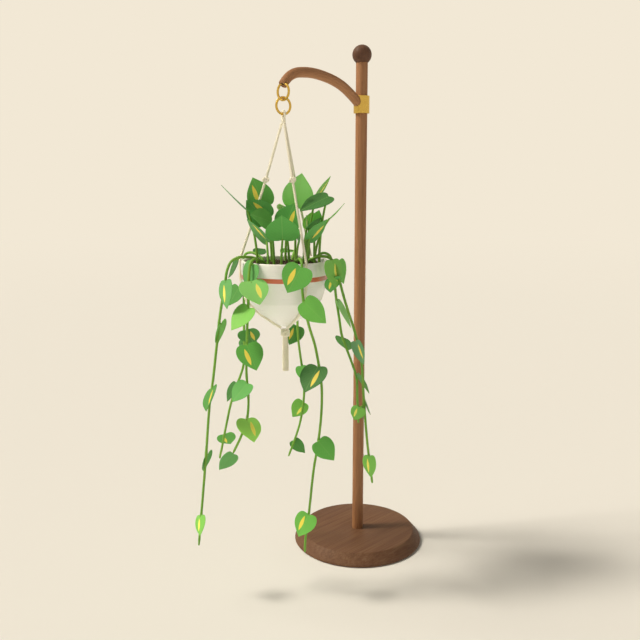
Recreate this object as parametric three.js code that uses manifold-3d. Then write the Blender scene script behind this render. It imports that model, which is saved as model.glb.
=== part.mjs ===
// A trailing pothos in a glazed pot, carried by a knotted cord hanger on a wooden stand.
// Millimetres, +Z up. The origin is the centre of the base's underside, on the pole's axis.
// The arm reaches out along -X, and the pot hangs under its tip.

import * as THREE from 'three';
import { mergeVertices } from 'three/addons/utils/BufferGeometryUtils.js';
import Module from 'manifold-3d';

const wasm = await Module();
wasm.setup();

// ---- driving dimensions ----

const clearance = 0.3; // between pieces that touch
const overcut = 5; // how far a hole's cutting body runs out past the surface

const base = { bottomRadius: 150, topRadius: 131.5, height: 27.5, footRadius: 146, shoulder: 2.5 };
const ballast = { radius: 120, thickness: 12 };
const pole = { radius: 12.75, top: 1095, socketDepth: 9 };
const finial = { radius: 20.8, rise: 16, dowelRadius: 5, dowelLength: 16 };
const collar = { radius: 17.3, bottom: 989, top: 1026, edge: 0.8 };
const arm = {
  reach: 229, radius: 10.3, rootHeight: 1013, tenonRadius: 5, tenonDepth: 8, tenonRoot: 8,
};
const ring = { radius: 16, wire: 2.4, topHeight: 1035, groove: 0.6 };
const cord = { radius: 2.7, knotRadius: 7.6 };
const pot = { radius: 88, rimHeight: 689, wall: 6 };
const soil = { height: 680, crown: 3, holeDepth: 12, holeMargin: 1.3 };
const gathering = { radius: 10.6, top: 546, bottom: 528 };
const tassel = { radius: 7.2, bottom: 456 };
const stem = { radius: 2.8, petiole: 1.6, stalkSteps: 5 };
const blade = { thickness: 0.9, fold: 0.05, droop: 0.03 };

// Facets round the turned and swept bodies.
const facets = {
  base: 40, pot: 36, pole: 24, ring: 22, finial: 18, knot: 16, eye: 14, tassel: 14, limb: 12,
  wire: 7, cord: 6, hole: 6, stem: 5, petiole: 4,
};

// The pot, the hanger and the plant are laid out in a frame about the pot's axis, with x to the
// right, y away from the front and z up. That frame is turned by this angle on the stand.
const plantTurn = THREE.MathUtils.degToRad(-45);

// The lower ring hangs turned a little past square to the upper one.
const lowerRingTurn = THREE.MathUtils.degToRad(-11);

// Compass angles of the hanger's three legs about the pot's axis, in degrees.
const legAngles = [180, -60, 55];

// The leaf's half outline from the notch to the tip: the distance along the midrib as a share of
// the length, then the distance out from it as a share of the width.
const heart = [
  [-0.05, 0.17], [-0.03, 0.35], [0.11, 0.47], [0.34, 0.5], [0.57, 0.42], [0.77, 0.25],
];

const wood = new THREE.MeshStandardMaterial({ color: 0x8a5638, roughness: 0.6, metalness: 0 });
const darkWood = new THREE.MeshStandardMaterial({ color: 0x5b3626, roughness: 0.6, metalness: 0 });
const iron = new THREE.MeshStandardMaterial({ color: 0x4a4a4c, roughness: 0.7, metalness: 0.8 });
const brass = new THREE.MeshStandardMaterial({ color: 0xc4a042, roughness: 0.35, metalness: 1 });
const cotton = new THREE.MeshStandardMaterial({ color: 0xe2dcbe, roughness: 0.9, metalness: 0 });
const ceramic = new THREE.MeshStandardMaterial({ color: 0xe9e5d6, roughness: 0.35, metalness: 0 });
const earth = new THREE.MeshStandardMaterial({ color: 0x3c2d26, roughness: 1, metalness: 0 });
const green = new THREE.MeshStandardMaterial({ color: 0x4f9b3f, roughness: 0.5, metalness: 0 });

// ---- solids ----

function solidOf(geometry) {
  const bare = geometry.clone();
  bare.deleteAttribute('normal');
  bare.deleteAttribute('uv');
  const merged = mergeVertices(bare, 1e-4);
  return new wasm.Manifold(new wasm.Mesh({
    numProp: 3,
    vertProperties: merged.attributes.position.array,
    triVerts: new Uint32Array(merged.index.array),
  }));
}

function geometryOf(solid) {
  const { vertProperties, triVerts } = solid.getMesh();
  const geometry = new THREE.BufferGeometry();
  geometry.setAttribute('position', new THREE.BufferAttribute(vertProperties, 3));
  geometry.setIndex(new THREE.BufferAttribute(triVerts, 1));
  geometry.computeVertexNormals();
  return geometry;
}

function join(geometries) {
  return geometryOf(geometries.map(solidOf).reduce((whole, next) => whole.add(next)));
}

function cut(geometry, tools) {
  const whole = solidOf(geometry);
  return geometryOf(tools.map(solidOf).reduce((left, tool) => left.subtract(tool), whole));
}

function piece(name, geometry, material) {
  const mesh = new THREE.Mesh(geometry, material);
  mesh.name = name;
  return mesh;
}

// A turned body on the Z axis. The profile is a list of [radius, height], bottom first.
function turned(profile, segments) {
  const points = profile.map(([radius, height]) => new THREE.Vector2(radius, height));
  return new THREE.LatheGeometry(points, segments).rotateX(Math.PI / 2);
}

function rod(radius, bottom, top, sides) {
  return turned([[0, bottom], [radius, bottom], [radius, top], [0, top]], sides);
}

function sweep(route, radius, sides, steps) {
  const corners = [];
  for (let i = 0; i < sides; i++) {
    const angle = (2 * Math.PI * i) / sides;
    corners.push(new THREE.Vector2(radius * Math.cos(angle), radius * Math.sin(angle)));
  }
  const section = new THREE.Shape(corners);
  return new THREE.ExtrudeGeometry(section, { steps, extrudePath: route, bevelEnabled: false });
}

// A smooth route that is swept from point to point, so that tight bends get short steps.
class Route extends THREE.CatmullRomCurve3 {
  constructor(points) {
    super(points.map((point) => new THREE.Vector3(...point)), false, 'centripetal');
  }

  getPointAt(share, target) {
    return this.getPoint(share, target);
  }

  getTangentAt(share, target) {
    return this.getTangent(share, target);
  }

  sweep(radius, sides) {
    return sweep(this, radius, sides, this.points.length - 1);
  }
}

// ---- the stand ----

function makeBase() {
  const { bottomRadius, topRadius, height, footRadius, shoulder } = base;
  const recess = ballast.radius + clearance;
  const recessTop = ballast.thickness + clearance;
  const socket = pole.radius + clearance;
  return turned([
    [0, recessTop], [recess, recessTop], [recess, 0], [footRadius, 0], [bottomRadius, 3],
    [bottomRadius - 1, 7], [topRadius + shoulder, height - shoulder], [topRadius, height],
    [socket, height], [socket, height - pole.socketDepth], [0, height - pole.socketDepth],
  ], facets.base);
}

function makeBallast() {
  return rod(ballast.radius, 0, ballast.thickness, facets.base);
}

function makePole() {
  const foot = base.height - pole.socketDepth + clearance;
  const bore = finial.dowelRadius + clearance;
  const boreBottom = pole.top - finial.dowelLength - clearance;
  const tenonHole = lyingRod(
    arm.tenonRadius + clearance, -pole.radius - overcut, clearance - pole.radius + arm.tenonDepth,
  );
  const shaft = turned([
    [0, foot], [pole.radius, foot], [pole.radius, pole.top],
    [bore, pole.top], [bore, boreBottom], [0, boreBottom],
  ], facets.pole);
  return cut(shaft, [tenonHole]);
}

// A rod along X at the arm's root height, between two places on that axis.
function lyingRod(radius, from, to) {
  return rod(radius, from, to, facets.limb).rotateY(Math.PI / 2).translate(0, 0, arm.rootHeight);
}

// The ball is flat where it sits on the pole, with a dowel down into it.
function makeFinial() {
  const seat = pole.top + clearance;
  const seatAngle = Math.asin((seat - finialCentre()) / finial.radius);
  const profile = [
    [0, pole.top - finial.dowelLength], [finial.dowelRadius, pole.top - finial.dowelLength],
    [finial.dowelRadius, seat],
  ];
  const rows = 7;
  for (let i = 0; i <= rows; i++) {
    const angle = seatAngle + ((Math.PI / 2 - seatAngle) * i) / rows;
    const height = finialCentre() + finial.radius * Math.sin(angle);
    profile.push([finial.radius * Math.cos(angle), height]);
  }
  profile[profile.length - 1][0] = 0;
  return turned(profile, facets.finial);
}

function finialCentre() {
  return pole.top + finial.rise;
}

function makeCollar() {
  const bore = pole.radius + clearance;
  const { radius, bottom, top, edge } = collar;
  const band = turned([
    [bore, bottom], [radius - edge, bottom], [radius, bottom + edge], [radius, top - edge],
    [radius - edge, top], [bore, top], [bore, bottom],
  ], facets.pole);
  return cut(band, [lyingRod(arm.tenonRadius + clearance, -radius - overcut, 0)]);
}

// The arm's centre line, as [distance out from the pole, height].
const armRoute = [
  [12, arm.rootHeight - 2], [17, 1015], [38, 1029], [62, 1042], [88, 1051], [116, 1057],
  [146, 1060.5], [174, 1060], [195, 1057], [211, 1050], [222, 1041], [230, 1032],
];

function makeArm() {
  const line = new Route(armRoute.map(([out, height]) => [-out, 0, height]));
  const limb = line.sweep(arm.radius, facets.limb);
  const saddle = rod(collar.radius + clearance, collar.bottom, collar.top + overcut, facets.pole);
  const tenon = lyingRod(
    arm.tenonRadius, -collar.radius - arm.tenonRoot, arm.tenonDepth - pole.radius,
  );
  const groove = ringBody(ring.wire + ring.groove).translate(-arm.reach, 0, upperRingHeight());
  return join([cut(limb, [saddle, groove]), tenon]);
}

// ---- the rings and the hanger ----

// A ring in the YZ plane, centred on the origin.
function ringBody(wire) {
  return new THREE.TorusGeometry(ring.radius, wire, facets.wire, facets.ring).rotateY(Math.PI / 2);
}

function upperRingHeight() {
  return ring.topHeight - ring.radius;
}

function lowerRingHeight() {
  return upperRingHeight() - 2 * ring.radius + 2 * ring.wire + clearance;
}

function makeUpperRing() {
  const mesh = piece('ring_upper', ringBody(ring.wire), brass);
  mesh.position.set(-arm.reach, 0, upperRingHeight());
  return mesh;
}

function makeLowerRing() {
  const mesh = piece('ring_lower', ringBody(ring.wire), brass);
  mesh.position.set(-arm.reach, 0, lowerRingHeight());
  mesh.rotation.z = Math.PI / 2 + lowerRingTurn;
  return mesh;
}

// A cord loop round the foot of the lower ring, closed by a small wrapped knot.
function makeHangerEye() {
  const wireHeight = lowerRingHeight() - ring.radius;
  const loopRadius = ring.wire + cord.radius + clearance;
  const loop = new THREE.TorusGeometry(loopRadius, cord.radius, facets.cord, facets.eye);
  loop.rotateY(Math.PI / 2).rotateZ(lowerRingTurn - plantTurn).translate(0, 0, wireHeight);
  const knotTop = wireHeight - loopRadius - 0.6;
  const wrapBottom = legTop + 2 * clearance;
  const wrap = turned([
    [0, wrapBottom], [4, wrapBottom], [4.8, wrapBottom + 2.2], [4.6, knotTop - 1.5],
    [3, knotTop], [0, knotTop],
  ], facets.eye);
  return join([loop, wrap]);
}

// A leg's centre line as [distance from the pot's axis, height]: down from the eye to the knot,
// straight to the rim, and then along the pot's side to the gathering knot.
const legTop = 959;
const legKnot = [36.6, 849];
const legRoute = [
  [3.4, legTop], [20, 903.5], legKnot, [64, 767], [85.5, 706], [90, 692.5], [91.2, 684],
  [91.2, 668], [90.9, 651], [85.4, 625], [79, 604.8], [67.5, 592.2], [56.3, 579.4],
  [38.8, 567], [20, 554.2], [9, 547.6],
];

function makeLeg(angle) {
  const line = new Route(legRoute.map(([out, height]) => [out, 0, height]));
  const knot = new THREE.SphereGeometry(cord.knotRadius, 8, 6).rotateX(Math.PI / 2);
  knot.scale(1, 1, 1.15).translate(legKnot[0], 0, legKnot[1]);
  const strand = line.sweep(cord.radius, facets.cord);
  return join([strand, knot]).rotateZ(THREE.MathUtils.degToRad(angle));
}

function makeGatheringKnot() {
  const { radius, top, bottom } = gathering;
  return turned([
    [0, bottom], [radius - 3, bottom], [radius - 0.6, bottom + 2.5], [radius, bottom + 7],
    [radius - 0.8, bottom + 10], [radius, bottom + 13], [radius - 1.2, top], [0, top],
  ], facets.knot);
}

function makeTassel() {
  const top = gathering.bottom - clearance;
  const { radius, bottom } = tassel;
  return turned([
    [0, bottom], [radius, bottom], [radius, bottom + 40], [radius - 0.6, top - 8],
    [radius - 1.6, top], [0, top],
  ], facets.tassel);
}

// ---- the pot and the soil ----

// The pot's outside as [radius, height], from its small flat foot up to the straight side.
const potFoot = [10, 552];
const potSide = [
  potFoot, [18, 557.5], [37, 570], [54, 582], [76, 607], [82, 626], [pot.radius, 655],
];

function makePot() {
  const { radius, rimHeight, wall } = pot;
  return turned([
    [0, potFoot[1]], ...potSide, [radius, rimHeight - 2], [radius - 1.2, rimHeight - 0.3],
    [radius - wall + 1.5, rimHeight], [radius - wall, rimHeight - 2],
    ...potInside().toReversed(),
  ], facets.pot);
}

// The inside follows the outside at the wall's thickness, measured square to the wall.
function potInside() {
  const steps = potSide.slice(2);
  const inside = steps.map(([radius, height], i) => {
    const [nextRadius, nextHeight] = steps[Math.min(i + 1, steps.length - 1)];
    const [lastRadius, lastHeight] = steps[Math.max(i - 1, 0)];
    const along = Math.atan2(nextHeight - lastHeight, nextRadius - lastRadius);
    return [radius - pot.wall * Math.sin(along), height + pot.wall * Math.cos(along)];
  });
  return [[0, inside[0][1]], ...inside];
}

function makeSoil() {
  const gap = 1.2 * clearance;
  const fill = potInside().map(([radius, height]) => [Math.max(radius - gap, 0), height + gap]);
  const edge = pot.radius - pot.wall - clearance;
  const body = turned([
    ...fill, [edge, soil.height], [edge * 0.85, soil.height + 1.4],
    [edge * 0.5, soil.height + soil.crown], [0, soil.height + soil.crown],
  ], facets.pot);
  const hole = rod(
    stem.radius + soil.holeMargin, soil.height - soil.holeDepth,
    soil.height + soil.crown + overcut, facets.hole,
  );
  const roots = [...leaves, ...vines].map(({ root }) => root);
  return cut(body, roots.map(([x, y]) => hole.clone().translate(x, y, 0)));
}

// ---- leaves ----

// A blade's corners as shares of its length and width: the notch, the tip, the points between
// them along the midrib, and then the outline on either side.
const bladeCorners = [
  [0, 0], [1, 0], ...heart.map((_, i) => [(i + 1) / (heart.length + 1), 0]),
  ...heart.map(([x, y]) => [x, -y]), ...heart,
];

// Both faces of a blade are split into the same triangles, and a thin edge joins them.
function bladeTriangles() {
  const count = heart.length;
  const upper = bladeCorners.length;
  const row = (first) => (i) => {
    if (i < 0) return 0;
    return i === count ? 1 : first + i;
  };
  const midrib = row(2);
  const outlines = [row(2 + count), row(2 + 2 * count)];
  const index = [];
  outlines.forEach((outline, side) => {
    for (let i = -1; i < count; i++) {
      const quad = [midrib(i), midrib(i + 1), outline(i + 1), outline(i)];
      for (const half of [[quad[0], quad[1], quad[2]], [quad[0], quad[2], quad[3]]]) {
        if (new Set(half).size < 3) continue;
        const [a, b, c] = side ? half : half.toReversed();
        index.push(c, b, a, a + upper, b + upper, c + upper);
      }
    }
  });
  const loop = [];
  for (let i = -1; i <= count; i++) loop.push(outlines[0](i));
  for (let i = count - 1; i >= 0; i--) loop.push(outlines[1](i));
  loop.forEach((a, i) => {
    const b = loop[(i + 1) % loop.length];
    index.push(a, b, b + upper, a, b + upper, a + upper);
  });
  return index;
}

// One leaf blade from its notch to its tip: a heart folded along the midrib, drooping towards the
// tip. The face is the direction that its upper side looks to.
function makeBlade({ notch, tip, width, face }) {
  const start = new THREE.Vector3(...notch);
  const along = new THREE.Vector3(...tip).sub(start);
  const length = along.length();
  along.normalize();
  const facing = new THREE.Vector3(...face);
  const up = facing.clone().addScaledVector(along, -along.dot(facing)).normalize();
  const across = new THREE.Vector3().crossVectors(up, along);

  const positions = [];
  for (const lift of [-blade.thickness / 2, blade.thickness / 2]) {
    for (const [x, y] of bladeCorners) {
      const height = blade.fold * Math.abs(y) * width - blade.droop * x * x * length;
      positions.push(x * length, y * width, height + lift);
    }
  }
  const geometry = new THREE.BufferGeometry();
  geometry.setAttribute('position', new THREE.Float32BufferAttribute(positions, 3));
  geometry.setIndex(bladeTriangles());
  return geometry.applyMatrix4(new THREE.Matrix4().makeBasis(along, across, up).setPosition(start));
}

// The notch, pushed a little way along the midrib, so that a stalk roots well inside the blade.
function stalkEnd({ notch, tip }) {
  return new THREE.Vector3(...notch).lerp(new THREE.Vector3(...tip), 0.04);
}

// Leaves that stand up from the soil on stalks of their own: where the stalk leaves the soil,
// then the blade.
const leaves = [
  { root: [-27, 18], notch: [-42, 14, 797], tip: [-64, 14, 854], width: 54, face: [0.05, -1, 0.05] },
  { root: [-22, 4], notch: [-36, -2, 770], tip: [-76, -6, 809], width: 56, face: [-0.1, -1, 0.1] },
  { root: [-54, -14], notch: [-71, -31, 791], tip: [-123, -33, 838], width: 54, face: [-0.89, -0.18, -1] },
  { root: [-30, -53], notch: [-32, -38, 729], tip: [-72, -42, 773], width: 40, face: [-0.61, -0.53, -0.59] },
  { root: [-20, -26], notch: [-24, -32, 767], tip: [-62, -62, 785], width: 54, face: [-0.1, -0.75, 0.65] },
  { root: [0, 34], notch: [8, 24, 778], tip: [-9, 0, 803], width: 50, face: [-0.3, -0.5, 0.8] },
  { root: [-4, -56], notch: [-1, -57, 734], tip: [-1, -88, 784], width: 66, face: [0, 1, 0.6] },
  { root: [9, 6], notch: [1, -6, 754], tip: [20, -14, 803], width: 56, face: [-0.2, -0.9, 0.3] },
  { root: [20, 44], notch: [24, 31, 794], tip: [35, 15, 862], width: 66, face: [-0.24, -0.95, -0.18] },
  { root: [70, -5], notch: [89, -28, 817], tip: [32, -52, 791], width: 56, face: [-0.21, -0.45, 0.87] },
  { root: [48, 27], notch: [62, 22, 813], tip: [94, 30, 856], width: 40, face: [0.79, -0.28, -0.54] },
  { root: [60, 4], notch: [90, 8, 771], tip: [123, 16, 801], width: 48, face: [0.67, -0.09, -0.74] },
  { root: [46, -2], notch: [49, -14, 754], tip: [75, -18, 776], width: 40, face: [0.57, -0.37, -0.74] },
  { root: [46, -34], notch: [49, -34, 733], tip: [87, -34, 772], width: 48, face: [0.6, -0.54, -0.59] },
  { root: [60, 38], notch: [60, 37, 750], tip: [70, 34, 788], width: 32, face: [-0.3, -0.9, 0.2] },
  { root: [40, 44], notch: [51, 43, 748], tip: [57, 43, 785], width: 34, face: [0, -1, 0.3] },
  { root: [38, 16], notch: [45, 17, 750], tip: [45, 13, 779], width: 24, face: [1, 0.2, 0.1] },
  { root: [24, -30], notch: [30, -32, 729], tip: [33, -47, 756], width: 32, face: [-1, -0.3, 0.2] },
];

function makeLeaf(leaf) {
  const [x, y] = leaf.root;
  const end = stalkEnd(leaf);
  const foot = new THREE.Vector3(x, y, soil.height - soil.holeDepth + clearance);
  const bend = new THREE.Vector3(x, y, foot.z + (end.z - foot.z) * 0.6);
  const line = new THREE.QuadraticBezierCurve3(foot, bend, end);
  return join([sweep(line, stem.radius, facets.stem, stem.stalkSteps), makeBlade(leaf)]);
}

// ---- vines ----

// Trailing stems: out of the soil, over the rim and down, each with the leaves along it.
const vines = [
  {
    root: [-46, -22],
    route: [
      [-57, -30, 695], [-74, -42, 699], [-89, -54, 699], [-102, -62, 692], [-110, -68, 674],
      [-114, -71, 646], [-123, -75, 598], [-132, -79, 528], [-142, -85, 448], [-147, -88, 418],
      [-158, -95, 295], [-166, -101, 212], [-175, -108, 117],
    ],
    leaves: [
      { notch: [-111, -78, 656], tip: [-110, -93, 603], width: 53, face: [-0.82, -0.56, 0.14] },
      { notch: [-90, -46, 693], tip: [-112, -34, 656], width: 36, face: [-0.85, -0.33, 0.4] },
      { notch: [-123, -73, 571], tip: [-133, -52, 522], width: 50, face: [0.93, -0.23, -0.28] },
      { notch: [-142, -88, 443], tip: [-151, -128, 408], width: 50, face: [-0.8, -0.29, 0.52] },
      { notch: [-155, -84, 304], tip: [-165, -72, 261], width: 43, face: [0.92, -0.26, -0.29] },
      { notch: [-169, -106, 180], tip: [-170, -126, 146], width: 39, face: [-0.78, -0.51, 0.35] },
    ],
  },
  {
    root: [-36, -42],
    route: [
      [-46, -56, 694], [-56, -71, 698], [-62, -84, 691], [-65, -91, 668], [-67, -92, 614],
      [-70, -88, 570], [-72, -85, 530], [-74, -83, 484], [-73, -82, 447], [-71, -82, 416],
      [-75, -83, 375], [-88, -85, 339], [-103, -88, 308],
    ],
    leaves: [
      { notch: [-56, -84, 690], tip: [-74, -76, 642], width: 44, face: [-0.68, -0.72, 0.13] },
      { notch: [-60, -102, 658], tip: [-41, -132, 619], width: 58, face: [0.26, -0.7, 0.66] },
      { notch: [-65, -98, 607], tip: [-99, -117, 567], width: 53, face: [-0.45, -0.61, 0.66] },
      { notch: [-72, -82, 559], tip: [-61, -54, 525], width: 44, face: [0.1, -0.78, -0.62] },
      { notch: [-71, -96, 532], tip: [-50, -124, 489], width: 53, face: [0.18, -0.79, 0.58] },
      { notch: [-72, -92, 454], tip: [-100, -114, 423], width: 45, face: [-0.32, -0.61, 0.72] },
      { notch: [-75, -93, 380], tip: [-56, -130, 346], width: 52, face: [0.41, -0.5, 0.76] },
      { notch: [-103, -92, 307], tip: [-131, -98, 275], width: 40, face: [0.52, -0.8, -0.31] },
    ],
  },
  {
    root: [-46, 26],
    route: [
      [-58, 36, 695], [-73, 47, 699], [-86, 56, 693], [-91, 61, 670], [-91, 64, 610],
      [-92, 66, 530], [-95, 68, 451], [-105, 70, 419], [-124, 74, 365], [-137, 78, 310],
      [-147, 81, 263], [-154, 83, 231],
    ],
    leaves: [
      { notch: [-60, 48, 698], tip: [-44, 68, 705], width: 30, face: [0.1, -0.4, 1] },
      { notch: [-100, 56, 624], tip: [-123, 48, 586], width: 44, face: [-0.52, -0.72, 0.46] },
      { notch: [-88, 76, 508], tip: [-80, 92, 474], width: 40, face: [-0.2, 0.9, 0.3] },
      { notch: [-111, 62, 412], tip: [-131, 46, 375], width: 44, face: [-0.73, -0.39, 0.56] },
      { notch: [-143, 90, 285], tip: [-133, 117, 251], width: 42, face: [0.2, -0.8, -0.57] },
    ],
  },
  {
    root: [20, -44],
    route: [
      [28, -62, 695], [33, -79, 699], [37, -92, 692], [38, -98, 668], [38, -99, 640],
      [43, -99, 604], [51, -99, 570], [62, -99, 533], [70, -100, 491], [75, -100, 452],
      [75, -100, 401], [69, -100, 339], [59, -100, 275], [50, -100, 189], [42, -100, 124],
      [41, -100, 98],
    ],
    leaves: [
      { notch: [36, -107, 686], tip: [11, -138, 642], width: 58, face: [0.1, -0.84, 0.54] },
      { notch: [42, -107, 620], tip: [83, -116, 579], width: 55, face: [-0.42, -0.88, -0.22] },
      { notch: [68, -108, 491], tip: [42, -143, 450], width: 58, face: [-0.37, -0.57, 0.73] },
      { notch: [69, -108, 339], tip: [100, -125, 306], width: 46, face: [0.22, -0.77, 0.6] },
      { notch: [49, -109, 184], tip: [29, -134, 149], width: 44, face: [-0.09, -0.79, 0.61] },
    ],
  },
  {
    root: [14, 58],
    route: [
      [16, 70, 694], [18, 84, 698], [20, 96, 691], [21, 102, 668], [21, 104, 600],
      [22, 104, 544], [24, 105, 498], [28, 106, 464], [35, 107, 411], [36, 108, 371],
      [28, 109, 312], [18, 110, 276], [0, 112, 225],
    ],
    leaves: [
      { notch: [8, 88, 700], tip: [-14, 104, 694], width: 34, face: [0, 0.4, 1] },
      { notch: [26, 112, 640], tip: [44, 126, 600], width: 44, face: [0.3, 0.9, 0.2] },
      { notch: [21, 112, 528], tip: [4, 106, 487], width: 43, face: [0.21, -0.98, 0.05] },
      { notch: [31, 96, 441], tip: [40, 93, 406], width: 34, face: [-0.45, -0.89, -0.04] },
      { notch: [34, 118, 351], tip: [9, 118, 316], width: 38, face: [-0.1, -0.99, 0.08] },
      { notch: [11, 120, 260], tip: [37, 112, 232], width: 40, face: [-0.52, -0.82, -0.23] },
    ],
  },
  {
    root: [56, 18],
    route: [
      [66, 22, 694], [79, 26, 700], [92, 29, 694], [98, 30, 672], [102, 30, 640],
      [106, 30, 604], [113, 30, 558], [118, 30, 526], [127, 30, 500], [141, 30, 462],
      [150, 30, 432], [152, 30, 390], [154, 30, 348], [155, 30, 332],
    ],
    leaves: [
      { notch: [111, 36, 681], tip: [123, 44, 633], width: 44, face: [0.83, -0.55, 0.12] },
      { notch: [109, 26, 599], tip: [139, 20, 544], width: 42, face: [0.84, -0.23, 0.48] },
      { notch: [120, 40, 518], tip: [132, 66, 483], width: 43, face: [-0.55, -0.58, -0.6] },
      { notch: [152, 26, 441], tip: [178, 14, 403], width: 40, face: [0.79, -0.12, 0.6] },
      { notch: [163, 28, 368], tip: [166, 48, 333], width: 28, face: [0.99, -0.16, 0] },
    ],
  },
  {
    root: [46, -8],
    route: [
      [60, -18, 694], [76, -28, 699], [92, -38, 696], [104, -47, 680], [112, -52, 648],
      [119, -54, 622], [128, -55, 592], [138, -56, 562], [148, -57, 526], [156, -58, 484],
      [159, -59, 441], [163, -60, 384], [170, -62, 310], [176, -63, 264], [180, -63, 233],
    ],
    leaves: [
      { notch: [94, -54, 693], tip: [104, -60, 639], width: 56, face: [0.78, -0.6, 0.2] },
      { notch: [99, -60, 661], tip: [93, -40, 627], width: 37, face: [0.41, -0.75, -0.52] },
      { notch: [144, -66, 533], tip: [159, -77, 488], width: 50, face: [-0.87, -0.46, -0.18] },
      { notch: [152, -68, 397], tip: [142, -64, 368], width: 30, face: [-0.1, -0.99, -0.1] },
      { notch: [162, -54, 407], tip: [176, -50, 376], width: 30, face: [0.91, -0.06, 0.4] },
      { notch: [173, -70, 294], tip: [175, -82, 252], width: 41, face: [-0.79, -0.59, 0.13] },
    ],
  },
];

function nearestOn(route, place) {
  const samples = 400;
  let nearest = route.getPoint(0);
  for (let i = 1; i <= samples; i++) {
    const point = route.getPoint(i / samples);
    if (point.distanceTo(place) < nearest.distanceTo(place)) nearest = point;
  }
  return nearest;
}

function makeVine(vine) {
  const [x, y] = vine.root;
  const foot = soil.height - soil.holeDepth + clearance;
  const route = new Route([[x, y, foot], [x, y, soil.height + 5], ...vine.route]);
  const parts = [route.sweep(stem.radius, facets.stem)];
  for (const leaf of vine.leaves) {
    const end = stalkEnd(leaf);
    const stalk = new THREE.LineCurve3(nearestOn(route, end), end);
    parts.push(sweep(stalk, stem.petiole, facets.petiole, 1), makeBlade(leaf));
  }
  return join(parts);
}

// ---- the whole ----

function makeStand() {
  const group = new THREE.Group();
  group.add(
    piece('base', makeBase(), darkWood),
    piece('base_ballast', makeBallast(), iron),
    piece('pole', makePole(), wood),
    piece('finial', makeFinial(), darkWood),
    piece('collar', makeCollar(), brass),
    piece('arm', makeArm(), wood),
    makeUpperRing(),
    makeLowerRing(),
  );
  return group;
}

function makeHangingPlant() {
  const group = new THREE.Group();
  group.add(
    piece('hanger_eye', makeHangerEye(), cotton),
    piece('gathering_knot', makeGatheringKnot(), cotton),
    piece('tassel', makeTassel(), cotton),
    piece('pot', makePot(), ceramic),
    piece('soil', makeSoil(), earth),
  );
  legAngles.forEach((angle, i) => group.add(piece(`hanger_leg_${i + 1}`, makeLeg(angle), cotton)));
  leaves.forEach((leaf, i) => {
    group.add(piece(`leaf_${String(i + 1).padStart(2, '0')}`, makeLeaf(leaf), green));
  });
  vines.forEach((vine, i) => group.add(piece(`vine_${i + 1}`, makeVine(vine), green)));
  group.position.set(-arm.reach, 0, 0);
  group.rotation.z = plantTurn;
  return group;
}

const plantOnStand = new THREE.Group();
plantOnStand.add(makeStand(), makeHangingPlant());

export default plantOnStand;
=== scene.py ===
import math
import random

import bmesh
import bpy
from mathutils import Matrix, Vector, noise


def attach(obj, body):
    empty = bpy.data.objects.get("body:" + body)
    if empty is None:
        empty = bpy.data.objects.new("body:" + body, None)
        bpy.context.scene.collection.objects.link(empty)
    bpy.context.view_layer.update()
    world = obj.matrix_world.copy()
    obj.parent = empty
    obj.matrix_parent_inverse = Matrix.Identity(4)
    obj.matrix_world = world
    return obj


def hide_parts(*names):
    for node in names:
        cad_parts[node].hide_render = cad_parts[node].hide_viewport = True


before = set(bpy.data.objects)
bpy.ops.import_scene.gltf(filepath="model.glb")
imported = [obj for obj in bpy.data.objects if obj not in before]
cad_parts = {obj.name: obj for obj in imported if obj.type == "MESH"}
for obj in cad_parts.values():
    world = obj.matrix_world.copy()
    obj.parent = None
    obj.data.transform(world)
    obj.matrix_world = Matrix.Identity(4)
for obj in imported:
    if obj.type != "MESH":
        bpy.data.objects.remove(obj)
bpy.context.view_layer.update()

# A trailing pothos in a glazed pot, hung by knotted cords from a wooden stand.
# Sizes are in millimetres up to the moment a piece is made into an object.

toMetres = Matrix.Scale(0.001, 4)
gap = 0.3  # left between wooden and metal pieces that touch
armReach = 229
plantTurn = -45
hangingPlace = Matrix.Translation((-armReach, 0, 0)) @ Matrix.Rotation(math.radians(plantTurn), 4, "Z")
plantPlace = toMetres @ hangingPlace


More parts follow.
